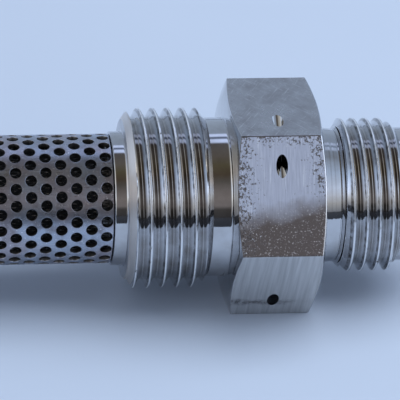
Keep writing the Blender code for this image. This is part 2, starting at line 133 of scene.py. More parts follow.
class Draft:
    """The points and faces of a mesh in the making. A face's zone picks its material."""

    def __init__(self, angles=()):
        self.angles = angles
        self.points = []
        self.faces = []
        self.zones = []

    def add(self, x, radius, angle):
        return self.add_point(place(x, radius, angle))

    def add_point(self, point):
        self.points.append(point)
        return len(self.points) - 1

    def ring(self, section):
        return [self.add(*section(angle), angle) for angle in self.angles]

    def face(self, corners, zone=0):
        corners = list(dict.fromkeys(corners))
        if len(corners) > 2:
            self.faces.append(corners)
            self.zones.append(zone)

    def join(self, first, second, zone=0, closed=True):
        """Faces between two rings. A zone is a number, or a function of the angle."""
        for step in range(len(first) - (not closed)):
            after = (step + 1) % len(first)
            corners = (first[step], second[step], second[after], first[after])
            self.face(corners, zone(self.angles[step]) if callable(zone) else zone)

    def chain(self, rings, closed=False):
        """Faces between each ring and the next, and between the last and the first of closed ones."""
        for first, second in zip(rings, rings[1:] + (rings[:1] if closed else [])):
            self.join(first, second)

    def tube(self, path, radius, sides, closed=False):
        """A round wire along a path of (point, across) pairs, where across is a direction off the path."""
        rings = []
        count = len(path)
        for here, (middle, across) in enumerate(path):
            before = path[here - 1][0] if here or closed else middle
            after = path[(here + 1) % count][0] if here + 1 < count or closed else middle
            along = (after - before).normalized()
            side = along.cross(across).normalized()
            out = side.cross(along)
            corners = [side * math.cos(turn) + out * math.sin(turn) for turn in even_angles(sides)]
            rings.append([self.add_point(middle + corner * radius * MM) for corner in corners])
        self.chain(rings, closed)
        if not closed:
            self.face(rings[0])
            self.face(rings[-1])

    def make(self, name, materials, sharp=SHARP):
        mesh = bpy.data.meshes.new(name)
        mesh.from_pydata(self.points, [], self.faces)
        for material in materials:
            mesh.materials.append(material)
        mesh.polygons.foreach_set("material_index", self.zones)
        bm = bmesh.new()
        bm.from_mesh(mesh)
        bmesh.ops.recalc_face_normals(bm, faces=bm.faces[:])
        bm.to_mesh(mesh)
        bm.free()
        mesh.shade_smooth()
        mesh.set_sharp_from_angle(angle=math.radians(sharp))
        return new_object(name, mesh)


def circle(x, radius):
    return lambda _: (x, radius)


def hexagon_radius(across_flats, rounding, angle):
    """The radius of a hexagon with rounded corners."""
    from_corner = abs((angle + TWELFTH) % (SIXTH) - TWELFTH)
    centre = (across_flats / 2 - rounding) / math.cos(TWELFTH)
    if from_corner < corner_reach(across_flats, rounding):
        across = centre * math.sin(from_corner)
        return centre * math.cos(from_corner) + math.sqrt(rounding ** 2 - across ** 2)
    return across_flats / 2 / math.cos(TWELFTH - from_corner)


def corner_reach(across_flats, rounding):
    """The angle from a hexagon's corner to where its rounding ends."""
    centre = (across_flats / 2 - rounding) / math.cos(TWELFTH)
    return math.atan2(rounding * math.sin(TWELFTH), centre + rounding * math.cos(TWELFTH))


def hexagon_angles(steps, across_flats, rounding):
    """Even angles, with more of them round the hexagon's corners."""
    reach = corner_reach(across_flats, rounding)
    angles = set(even_angles(steps))
    for corner in range(6):
        for share in (-2, -1, -0.5, 0.5, 1, 2):
            angles.add((TURN * corner / 6 + share * reach) % TURN)
    return sorted(angles)


def turned(name, outline, material):
    """Turn an outline round the axis. One that starts on the axis is a solid piece, any other a ring."""
    solid = outline[0][1] == 0
    points = rounded(outline, closed=not solid)
    draft = Draft(even_angles(FINE_STEPS))
    rings = [[draft.add(x, 0, 0)] * FINE_STEPS if radius == 0 else draft.ring(circle(x, radius))
             for x, radius in points]
    draft.chain(rings, closed=not solid)
    return draft.make(name, [material])


def cad_outline(node, rounding, degrees=30):
    """A node's outline in the half-plane at an angle, as (x, radius, rounding) points in order. An open one
    is joined to the axis."""
    keys = {}
    for vertex in nodes[node].data.vertices:
        x, y, z = vertex.co.x / MM - HEX_X, vertex.co.y / MM, vertex.co.z / MM - AXIS_Z
        radius = math.hypot(y, z)
        off = (math.degrees(math.atan2(z, y)) - degrees + 180) % 360 - 180
        if radius < CLOSE or abs(off) < 0.5:
            keys[vertex.index] = (round(x, 3), round(radius, 3) if radius > CLOSE else 0.0)
    links = {}
    for edge in nodes[node].data.edges:
        first, second = (keys.get(index) for index in edge.vertices)
        if first and second and first != second:
            links.setdefault(first, set()).add(second)
            links.setdefault(second, set()).add(first)
    ends = sorted(point for point in links if len(links[point]) == 1)
    path = [ends[0] if ends else min(links)]
    while True:
        onward = sorted(links[path[-1]] - set(path))
        if not onward:
            break
        path.append(onward[0])
    if ends:
        path = [(path[0][0], 0), *path, (path[-1][0], 0)]
    return [(x, radius, rounding if radius else 0) for x, radius in path]


def drill(piece, holes):
    """Cut a mesh of rods out of a piece for good. Holes are (centre, direction, radius, length)."""
    drills = new_object("drills", bpy.data.meshes.new("drills"))
    bm = bmesh.new()
    for centre, direction, radius, length in holes:
        turn = direction.to_track_quat("Z", "Y").to_matrix().to_4x4()
        turn.translation = centre
        bmesh.ops.create_cone(bm, cap_ends=True, segments=DRILL_SIDES, radius1=radius * MM,
                              radius2=radius * MM, depth=length * MM, matrix=turn)
    bm.to_mesh(drills.data)
    bm.free()
    modifier = piece.modifiers.new("drill", "BOOLEAN")
    modifier.operation = "DIFFERENCE"
    modifier.solver = "EXACT"
    modifier.object = drills
    bpy.context.view_layer.update()
    cut = bpy.data.meshes.new_from_object(piece.evaluated_get(bpy.context.evaluated_depsgraph_get()))
    piece.modifiers.clear()
    piece.data = cut
    cut.shade_smooth()
    cut.set_sharp_from_angle(angle=math.radians(SHARP))
    bpy.data.objects.remove(drills)
    return piece


# ---- threads

# The crest's flat, the thread's depth, a flank's width and the edges of the strips are shares of the pitch.
# The roundings are shares of the depth, and the fade of the first flank is in turns.
FLANK = math.radians(30)
CREST_SHARE = 1 / 8
DEPTH_SHARE = 0.6134
FLANK_SHARE = DEPTH_SHARE * math.tan(FLANK)
CREST_ROUNDING = 0.045
ROOT_ROUNDING = 0.3
FADE_START, FADE_LENGTH = 0.65, 0.3
HALF_STRIPS = (0.0, 0.045, 0.0625, 0.08, 0.12, 0.19, 0.26, 0.31, 0.35, 0.39, 0.43, 0.465, 0.5)
STRIPS = (*HALF_STRIPS, *(1 - share for share in reversed(HALF_STRIPS[1:-1])))


class Thread:
    """A right-hand thread between two plain rings, with rounded crests and roots. It leads in and runs out
    over a length at each end. With a first_slope, the flank before the first crest is less steep, and it
    fades into a flank like the others during the last third of the first turn."""

    def __init__(self, major, pitch, crest, start, end, first_slope=None):
        self.major, self.pitch, self.crest = major, pitch, crest
        self.start, self.start_radius, self.start_lead = start
        self.end, self.end_radius, self.end_lead = end
        self.first_slope = first_slope

    def radius(self, x, angle):
        from_crest = abs(((x - self.crest) / self.pitch - angle / TURN + 0.5) % 1 - 0.5)
        down = (from_crest - CREST_SHARE / 2) / FLANK_SHARE
        if down < CREST_ROUNDING:
            down = max(down + CREST_ROUNDING, 0) ** 2 / (4 * CREST_ROUNDING)
        elif down > 1 - ROOT_ROUNDING:
            down = 1 - max(1 + ROOT_ROUNDING - down, 0) ** 2 / (4 * ROOT_ROUNDING)
        thread = self.major - DEPTH_SHARE * self.pitch * down
        first_crest = self.crest + (angle / TURN - 1 - CREST_SHARE / 2) * self.pitch
        if self.first_slope and x < first_crest:
            fade = min(max((angle / TURN - FADE_START) / FADE_LENGTH, 0), 1)
            slope = self.first_slope + (1 / math.tan(FLANK) - self.first_slope) * fade
            thread = max(thread, self.major - slope * (first_crest - x))
        lead_in = self.start_radius + (self.major - self.start_radius) * (x - self.start) / self.start_lead
        run_out = self.end_radius + (self.major - self.end_radius) * (self.end - x) / self.end_lead
        return min(thread, lead_in, run_out)

    def lay(self, draft, first, second, zone):
        """Helical strips between two rings. The end of each strip joins the strip one turn on."""
        steps, strips = len(draft.angles), len(STRIPS)
        snap = 0.006 * self.pitch
        made = {}

        def point(strip, step):
            if step == steps:
                strip, step = strip + strips, 0
            angle = draft.angles[step]
            x = self.crest + (strip // strips + STRIPS[strip % strips] + angle / TURN) * self.pitch
            if x < self.start + snap:
                return first[step]
            if x > self.end - snap:
                return second[step]
            if (strip, step) not in made:
                made[strip, step] = draft.add(x, self.radius(x, angle), angle)
            return made[strip, step]

        first_strip = (math.floor((self.start - self.crest) / self.pitch) - 1) * strips
        last_strip = (math.ceil((self.end - self.crest) / self.pitch) + 1) * strips
        for strip in range(first_strip, last_strip):
            for step in range(steps):
                draft.face((point(strip, step), point(strip + 1, step),
                            point(strip + 1, step + 1), point(strip, step + 1)), zone)


BOSS_THREAD = Thread(7 / 8 * INCH / 2, INCH / 14, -16.486, (-18.25, 9.8, 0.9), (-8.0, 9.85, 1.1))
INLET_THREAD = Thread(3 / 4 * INCH / 2, INCH / 16, 10.35, (8.55, 8.82, 0.35), (15.7, 8.3, 1.1),
                      first_slope=0.85)


# ---- materials

class Nodes:
    """Short ways to add nodes to one tree."""

    def __init__(self, tree):
        self.tree = tree

    def add(self, kind, inputs=(), **settings):
        node = self.tree.nodes.new("ShaderNode" + kind)
        for key, value in settings.items():
            setattr(node, key, value)
        for key, value in dict(inputs).items():
            self.put(node.inputs[key], value)
        return node

    def put(self, socket, value):
        if isinstance(value, bpy.types.NodeSocket):
            self.tree.links.new(value, socket)
        elif socket.type == "RGBA":
            socket.default_value = (*value, 1.0)
        else:
            socket.default_value = value

    def ramp(self, value, low, high, start=0.0, end=1.0, **settings):
        return self.add("MapRange", {"Value": value, "From Min": low, "From Max": high,
                                     "To Min": start, "To Max": end}, **settings).outputs[0]

    def math(self, operation, first, second=0.0):
        return self.add("Math", {0: first, 1: second}, operation=operation).outputs[0]

    def plus(self, first, second):
        return self.math("ADD", first, second)

    def minus(self, first, second):
        return self.math("SUBTRACT", first, second)

    def times(self, first, *others):
        for other in others:
            first = self.math("MULTIPLY", first, other)
        return first

    def mix(self, factor, first, second):
        return self.add("Mix", {0: factor, 6: first, 7: second}, data_type="RGBA").outputs[2]


class Shading(Nodes):
    """The nodes of one material. Positions in it are in millimetres."""

    def __init__(self, name):
        self.material = bpy.data.materials.new(name)
        self.material.use_nodes = True
        super().__init__(self.material.node_tree)
        self.shader = self.tree.nodes["Principled BSDF"]
        self.position = self.mapped((1000, 1000, 1000), self.add("TexCoord").outputs["Object"])
        x, self.y, z = self.add("SeparateXYZ", {"Vector": self.position}).outputs
        self.along = self.minus(x, HEX_X)
        self.up = self.minus(z, AXIS_Z)

    def mapped(self, scale, vector=None):
        return self.add("Mapping", {"Vector": vector or self.position, "Scale": scale}).outputs[0]

    def noise(self, scale, detail=3.0, roughness=0.55, vector=None):
        """Noise with this many waves per millimetre, or with its own number along x, y and z."""
        scales = scale if isinstance(scale, tuple) else (scale,) * 3
        return self.add("TexNoise", {"Vector": self.mapped(scales, vector), "Scale": 1.0,
                                     "Detail": detail, "Roughness": roughness}).outputs[0]

    def bump(self, height, distance):
        """Bump with this height in millimetres."""
        return self.add("Bump", {"Height": height, "Distance": distance * MM}).outputs[0]

    def radius(self):
        """The distance from the fitting's axis."""
        square = self.plus(self.math("POWER", self.y, 2.0), self.math("POWER", self.up, 2.0))
        return self.math("SQRT", square)

    def set(self, **values):
        for key, value in values.items():
            self.put(self.shader.inputs[key.replace("_", " ")], value)
        return self.material


def turned_steel(name, light, dark, roughness, groove, dull_bands=()):
    """Stainless off the lathe: fine rings of grooves, a little tarnish and a few dull spots. Dull bands are
    (middle, half_width, extra roughness) along the fitting."""
    s = Shading(name)
    rings = s.add("CombineXYZ", {"X": s.along, "Y": s.radius()}).outputs[0]
    grooves = s.noise((9, 9, 1), detail=2.0, vector=rings)
    bands = s.noise((1.3, 1.3, 1), detail=3.0, vector=rings)
    tarnish = s.noise(0.42, detail=4.0)
    spots = s.noise(3.1, detail=3.0)
    colour = s.mix(s.ramp(tarnish, 0.4, 0.66), light, dark)
    dull = s.plus(s.ramp(bands, 0.35, 0.65, roughness * 0.7, roughness * 1.3),
                  s.ramp(spots, 0.6, 0.75, 0.0, 0.06))
    for middle, half_width, extra in dull_bands:
        from_middle = s.math("ABSOLUTE", s.minus(s.along, middle))
        dull = s.plus(dull, s.ramp(from_middle, half_width, half_width + 0.05, extra, 0.0))
    return s.set(Base_Color=colour, Metallic=1.0, Roughness=dull, Normal=s.bump(grooves, groove))


def thread_steel(name, thread, dull_end=-100):
    """A thread: polished flanks, nicks along the crests, painted shade in the roots, a painted highlight as
    a pale line along the left half of the crests, and a painted dark reflection high on the flanks that
    face left.
    Before dull_end it has a duller finish, and its pale warm colour there is a painted reflection of warm
    light."""
    s = Shading(name)
    radius = s.radius()
    root = thread.major - DEPTH_SHARE * thread.pitch
    grooves = s.noise((9, 0.06, 0.06), detail=2.0)
    tarnish = s.noise(0.42, detail=4.0)
    nicks = s.ramp(s.noise((3.2, 1.5, 1.5), detail=3.0, roughness=0.7), 0.62, 0.68)
    turns = s.math("DIVIDE", s.minus(s.along, thread.crest), thread.pitch)
    turns = s.minus(turns, s.math("DIVIDE", s.math("ARCTAN2", s.up, s.y), TURN))
    from_crest = s.minus(s.math("FRACT", s.plus(turns, 0.5)), 0.5)
    # Painted highlight: a pale line along the left half of each crest, which is also rougher and less
    # metallic.
    crest = s.times(s.ramp(radius, thread.major - 0.06, thread.major - 0.01), s.ramp(from_crest, 0.03, 0.0))
    nicks = s.times(nicks, s.ramp(radius, thread.major - 0.26, thread.major - 0.12))
    # Painted shade: the roots of the thread are darker, patchy with the tarnish noise.
    root_shade = s.times(s.ramp(radius, root + 0.3, root + 0.05), s.ramp(tarnish, 0.3, 0.7, 0.3, 0.7))
    # Painted dark reflection: a patchy dark band high on the flanks that face left, picked by the shading
    # normal.
    normal = s.add("NewGeometry").outputs["Normal"]
    faces_left = s.ramp(s.add("SeparateXYZ", {"Vector": normal}).outputs[0], -0.15, -0.35)
    patchy = s.ramp(s.noise(1.1), 0.35, 0.6, 0.25, 0.9)
    past_start = s.ramp(s.along, thread.start + thread.start_lead, thread.start + thread.start_lead + 0.1)
    left_flank_dark_reflection = s.times(s.ramp(radius, thread.major - 0.42, thread.major - 0.34),
                   s.ramp(radius, thread.major - 0.05, thread.major - 0.10), faces_left, patchy, past_start)
    colour = s.mix(s.ramp(tarnish, 0.4, 0.66), (0.66, 0.665, 0.68), (0.58, 0.575, 0.58))
    # the painted shade in the thread roots
    colour = s.mix(root_shade, colour, (0.22, 0.20, 0.18))
    # the painted highlight along the crests
    colour = s.mix(crest, colour, (0.90, 0.91, 0.93))
    # dark nicks of wear, and the painted dark reflection on the flanks that face left
    colour = s.mix(s.math("MAXIMUM", nicks, left_flank_dark_reflection), colour, (0.09, 0.08, 0.07))
    # Painted reflection: before dull_end the colour turns pale and warm, standing in for warm light that
    # the lead-in chamfer mirrors; the roughness added there below is its duller finish.
    colour = s.mix(s.ramp(s.along, dull_end, dull_end - 0.05, 0.0, 0.8), colour, (0.84, 0.77, 0.70))
    height = s.minus(s.times(grooves, 0.1), nicks)
    dull = s.plus(s.ramp(s.noise(3.1), 0.6, 0.75, 0.05, 0.12), s.times(nicks, 0.4))
    dull = s.plus(dull, s.ramp(s.along, dull_end - 0.05, dull_end, 0.25, 0.0))
    dull = s.math("MAXIMUM", dull, s.times(crest, 0.3))
    return s.set(Base_Color=colour, Metallic=s.ramp(crest, 0.0, 1.0, 1.0, 0.72), Roughness=dull,
                 Normal=s.bump(height, 0.006))


def worn_satin():
    """The guard tube: dull steel with bluish and brown clouds, scratches along it and bright specks."""
    s = Shading("satin_tube")
    cloud = s.noise(0.22, detail=3.0)
    stain = s.noise(0.55, detail=4.0)
    scratches = s.noise((0.35, 5.0, 5.0), detail=4.0, roughness=0.7)
    around = s.noise((4.0, 0.3, 0.3), detail=3.0)
    specks = s.noise(3.4, detail=4.0, roughness=0.7)
    colour = s.mix(s.ramp(cloud, 0.40, 0.62), (0.44, 0.49, 0.58), (0.46, 0.43, 0.47))
    colour = s.mix(s.ramp(stain, 0.5, 0.72, 0.0, 0.7), colour, (0.20, 0.17, 0.17))
    colour = s.mix(s.ramp(scratches, 0.58, 0.70, 0.0, 0.5), colour, (0.72, 0.74, 0.78))
    colour = s.mix(s.ramp(specks, 0.60, 0.66, 0.0, 0.8), colour, (0.85, 0.86, 0.88))
    dull = s.plus(s.ramp(stain, 0.3, 0.7, 0.26, 0.38), s.ramp(scratches, 0.3, 0.7, -0.04, 0.04))
    height = s.plus(s.times(around, 0.5), scratches)
    return s.set(Base_Color=colour, Metallic=1.0, Roughness=dull, Normal=s.bump(height, 0.006))


def brushed_flat():
    """The other flats: dull grey with crossing scratches."""
    s = Shading("hexagon_flat")
    cloud = s.noise(0.42, detail=4.0)
    grain = s.noise(4.0, detail=4.0, roughness=0.7)
    scratches = []
    for lean in (0.55, -0.9):
        down = s.plus(s.y, s.times(s.along, lean))
        across = s.minus(s.along, s.times(s.y, lean))
        slanted = s.add("CombineXYZ", {"X": down, "Y": across, "Z": s.up}).outputs[0]
        scratches.append(s.ramp(s.noise((0.30, 4.5, 1.0), detail=3.0, vector=slanted), 0.60, 0.68))
    scratched = s.math("MAXIMUM", *scratches)
    colour = s.mix(s.ramp(cloud, 0.4, 0.66), (0.53, 0.53, 0.55), (0.42, 0.41, 0.42))
    colour = s.mix(s.times(scratched, 0.5), colour, (0.78, 0.79, 0.80))
    colour = s.mix(s.ramp(grain, 0.62, 0.68, 0.0, 0.6), colour, (0.85, 0.86, 0.88))
    height = s.minus(s.times(grain, 0.4), scratched)
    return s.set(Base_Color=colour, Metallic=1.0, Roughness=s.ramp(cloud, 0.3, 0.7, 0.24, 0.38),
                 Normal=s.bump(height, 0.005))


SLANT = 0.866       # the sine of 60 degrees


def pitted_flat():
    """The flat towards the camera: dull grey scale that is pitted along its edges, and a painted dark
    reflection
    on its lower half: a brown patch with bright specks."""
    s = Shading("hexagon_front")
    across = s.minus(s.times(s.y, -0.5), s.times(s.up, SLANT))
    plane = s.add("CombineXYZ", {"X": s.along, "Y": across}).outputs[0]
    streaks = s.noise((5.0, 0.35, 1.0), detail=4.0, vector=plane)
    cloud = s.noise(0.45, detail=4.0)
    specks = s.noise(2.7, detail=5.0, roughness=0.75)
    fine = s.noise(4.6, detail=4.0, roughness=0.7)
    edge = s.plus(s.times(s.along, 0.22), across)
    # Painted dark reflection: the flat turns browner and darker towards its lower right, with a cloudy
    # border.
    dark_reflection_patch = s.ramp(s.plus(edge, s.times(cloud, 3.0)), 3.5 - 1.3, 3.5 + 1.3)
    near_left = s.ramp(s.along, -1.8, -5.0)
    near_top = s.ramp(across, -5.2, -7.2)
    near_right = s.times(s.ramp(s.along, 2.0, 4.8), s.ramp(across, 2.0, -2.0))
    near_edge = s.math("MAXIMUM", near_left, s.math("MAXIMUM", near_top, near_right))
    near_edge = s.times(near_edge, s.ramp(s.noise(0.8, detail=3.0), 0.36, 0.52, 0.5, 1.1))
    scratches = s.noise((8.0, 0.22, 1.0), detail=3.0, vector=plane)
    limit = s.ramp(near_edge, 0.0, 1.1, 0.66, 0.475)
    pits = s.ramp(s.minus(specks, limit), -0.01, 0.03)
    sparks = s.math("MAXIMUM", s.times(s.ramp(fine, 0.59, 0.64), dark_reflection_patch),
                    s.times(s.ramp(fine, 0.60, 0.66), near_edge))
    colour = s.mix(s.ramp(streaks, 0.3, 0.7), (0.66, 0.68, 0.78), (0.52, 0.54, 0.63))
    colour = s.mix(s.ramp(scratches, 0.56, 0.68, 0.0, 0.7), colour, (0.88, 0.90, 0.97))
    # the brown of the painted dark reflection
    colour = s.mix(dark_reflection_patch, colour, (0.24, 0.21, 0.20))
    colour = s.mix(pits, colour, (0.11, 0.09, 0.08))
    colour = s.mix(sparks, colour, (0.95, 0.94, 0.95))
    metallic = s.minus(s.ramp(dark_reflection_patch, 0.0, 1.0, 0.45, 0.9), s.times(pits, 0.5))
    height = s.minus(s.times(fine, 0.3), pits)
    return s.set(Base_Color=colour, Metallic=metallic, Roughness=s.ramp(dark_reflection_patch, 0.0, 1.0, 0.46, 0.36),
                 Normal=s.bump(height, 0.02))


def streaked_flat_with_painted_shadow():
    """The flat under it: upright streaks, and a painted shadow: a dark wavy line low down, near the floor.
    """
    s = Shading("hexagon_low")
    across = s.minus(s.times(s.y, 0.5), s.times(s.up, SLANT))
    plane = s.add("CombineXYZ", {"X": s.along, "Y": across}).outputs[0]
    streaks = s.noise((2.2, 0.08, 1.0), detail=4.0, vector=plane)
    specks = s.noise(2.2, detail=5.0, roughness=0.7)
    wander = s.noise((0.5, 0.5, 1.0), vector=plane)
    wavy = s.plus(across, s.times(wander, 2.0))
    from_line = s.math("ABSOLUTE", s.minus(wavy, 5.2))
    # Painted shadow: a dark wavy line low on this flat, near where the hexagon meets the floor.
    line = s.times(s.ramp(from_line, 0.9, 0.1), s.ramp(specks, 0.42, 0.56, 0.25, 1.0))
    colour = s.mix(s.ramp(streaks, 0.35, 0.65), (0.60, 0.60, 0.60), (0.45, 0.45, 0.45))
    # The painted shadow is stronger towards the left end of the flat.
    colour = s.mix(s.times(line, s.ramp(s.along, 3.5, 0.5, 0.1, 0.9)), colour, (0.13, 0.12, 0.12))
    return s.set(Base_Color=colour, Metallic=0.7, Roughness=s.ramp(streaks, 0.3, 0.7, 0.30, 0.40),
                 Normal=s.bump(specks, 0.004))


BOSS_DULL_END = -17.45
TURNED = turned_steel("turned_steel", (0.60, 0.605, 0.62), (0.52, 0.515, 0.52), 0.05, 0.0006,
                      dull_bands=((-17.85, 0.4, 0.25),))
HEX_FLAT = brushed_flat()
HEX_FRONT = pitted_flat()
HEX_LOW = streaked_flat_with_painted_shadow()
# Painted dark reflection: a near-black material for the hexagon's edges beside the flat towards the camera.
HEX_DARK_EDGE = turned_steel("hexagon_edge_painted_dark", (0.22, 0.20, 0.19), (0.07, 0.06, 0.055), 0.45, 0.004)
BORE = turned_steel("bore", (0.46, 0.46, 0.47), (0.36, 0.355, 0.35), 0.30, 0.003)
# Painted shade: the walls of the guard's holes are dark grey, so the holes look dark.
SHADED_HOLE_WALL = turned_steel("hole_wall_painted_shade", (0.16, 0.155, 0.15), (0.08, 0.075, 0.07), 0.45, 0.003)
SATIN = worn_satin()
CAP_SATIN = turned_steel("satin_cap", (0.43, 0.45, 0.50), (0.33, 0.32, 0.34), 0.33, 0.003)
BRIGHT = turned_steel("bright_steel", (0.64, 0.64, 0.64), (0.52, 0.51, 0.50), 0.18, 0.001)
DULL = turned_steel("dull_steel", (0.26, 0.26, 0.27), (0.16, 0.155, 0.15), 0.35, 0.002)
SPRING = turned_steel("spring_wire", (0.50, 0.50, 0.52), (0.38, 0.37, 0.37), 0.26, 0.001)
MESH = turned_steel("mesh_wire", (0.34, 0.33, 0.32), (0.18, 0.17, 0.16), 0.22, 0.001)


def weave():
    """The wire of the mesh sleeve: painted near black as shade, with painted glints on the crowns of the
    weave.
    """
    s = Shading("weave")
    # Painted glints: the wire turns pale on some crowns of the weave at its outer surface; elsewhere it is
    # painted near black as shade.
    crown_glint = s.times(s.ramp(s.radius(), 6.86, 6.90), s.ramp(s.noise(2.2, detail=2.0), 0.40, 0.58))
    colour = s.mix(crown_glint, (0.05, 0.05, 0.05), (0.85, 0.84, 0.82))
    return s.set(Base_Color=colour, Metallic=1.0, Roughness=s.ramp(crown_glint, 0.0, 1.0, 0.35, 0.16),
                 Normal=s.bump(s.noise(9, detail=2.0), 0.001))


def ceramic():
    """Sintered grains with dark pores between them."""
    s = Shading("porous_ceramic")
    cells = s.add("TexVoronoi", {"Vector": s.position, "Scale": 9.0}).outputs["Distance"]
    cloud = s.noise(0.8)
    colour = s.mix(s.ramp(cells, 0.15, 0.6), (0.10, 0.10, 0.105), (0.03, 0.03, 0.032))
    colour = s.mix(s.ramp(cloud, 0.35, 0.7, 0.0, 0.5), colour, (0.06, 0.058, 0.055))
    return s.set(Base_Color=colour, Roughness=0.9, Normal=s.bump(cells, 0.05))


def moulded(name, light, dark, roughness, grain):
    """A dull moulded or cut plastic: a faint grain and a little variation in colour."""
    s = Shading(name)
    speckle = s.noise(14, detail=2.0)
    cloud = s.noise(0.9)
    colour = s.mix(s.ramp(cloud, 0.35, 0.65), light, dark)
    dull = s.ramp(speckle, 0.3, 0.7, roughness * 0.85, roughness * 1.15)
    return s.set(Base_Color=colour, Roughness=dull, Normal=s.bump(speckle, grain))


WEAVE = weave()
CERAMIC = ceramic()
PTFE = moulded("ptfe", (0.84, 0.84, 0.82), (0.74, 0.73, 0.69), 0.45, 0.004)
RUBBER = moulded("black_rubber", (0.035, 0.035, 0.035), (0.018, 0.018, 0.018), 0.55, 0.008)


# ---- the body

# The body's zones, in the order of its materials.
TURNED_ZONE, FLAT_ZONE, FRONT_ZONE, LOW_ZONE, DARK_EDGE_ZONE, BOSS_ZONE, INLET_ZONE, BORE_ZONE = range(8)
# The flat towards the camera starts at 120 degrees, and the one under it at 180.
FRONT_FLAT, LOW_FLAT = 2, 3
LEFT_EDGE_WIDTH, RIGHT_EDGE_WIDTH = 0.07, 0.14

NECK_RADIUS = 8.3
RELIEF_RADIUS = 8.5
RELIEF_SLOPE = 0.14
RIM_FOOT = 8.15
NOSE_ANGLE = math.radians(37)
NOSE_FACE = 5.55
INLET_BORE = 4.95
SCREEN_GROOVE = 5.5
THROAT = 2.6
CHAMBER = 5.6
VALVE_GROOVE = 6.15


def chamfer_edge(end, part):
    """A ring at the rounded edge between a chamfer cone and the flats. Parts 0 to 1 lead from the cone to
    the flats, and more than 1 is further along the flats."""
    def section(angle):
        radius = hexagon_radius(ACROSS_FLATS, HEX_ROUNDING, angle)
        setback = (radius - HEX_FACE) * HEX_CHAMFER
        width = LEFT_EDGE_WIDTH if end < 0 else RIGHT_EDGE_WIDTH
        cone_share = (1 - min(part, 1)) ** 2
        flat_share = min(part, 1) ** 2 + max(part - 1, 0)
        radius -= width * cone_share
        setback += width * flat_share - width * HEX_CHAMFER * cone_share
        return end - math.copysign(setback, end), radius
    return section


def flat_at(angle):
    """The number of the hexagon's flat at an angle."""
    return int(angle / TURN * 6 + 1e-6)


def flat_zone(angle):
    """The zone at an angle on the flats: the flat towards the camera and the one under it have their own,
    and so does the upper edge of the first, which carries a painted dark reflection."""
    flat = flat_at(angle)
    past_corner = angle - TURN * flat / 6
    if flat == FRONT_FLAT and past_corner < 0.9 * corner_reach(ACROSS_FLATS, HEX_ROUNDING):
        return DARK_EDGE_ZONE
    return {FRONT_FLAT: FRONT_ZONE, LOW_FLAT: LOW_ZONE}.get(flat, FLAT_ZONE)


def left_edge_zone(angle):
    """The left edge of the hexagon has a painted dark reflection on the flat towards the camera."""
    return DARK_EDGE_ZONE if flat_at(angle) == FRONT_FLAT else TURNED_ZONE


def spaced(start, end, count):
    return [start + (end - start) * step / (count - 1) for step in range(count)]


def tool_marks(x):
    """Waves that a lathe tool left along a surface."""
    return 0.003 * math.sin(TURN * x / 0.74) + 0.002 * math.sin(TURN * x / 0.43 + 1.0)


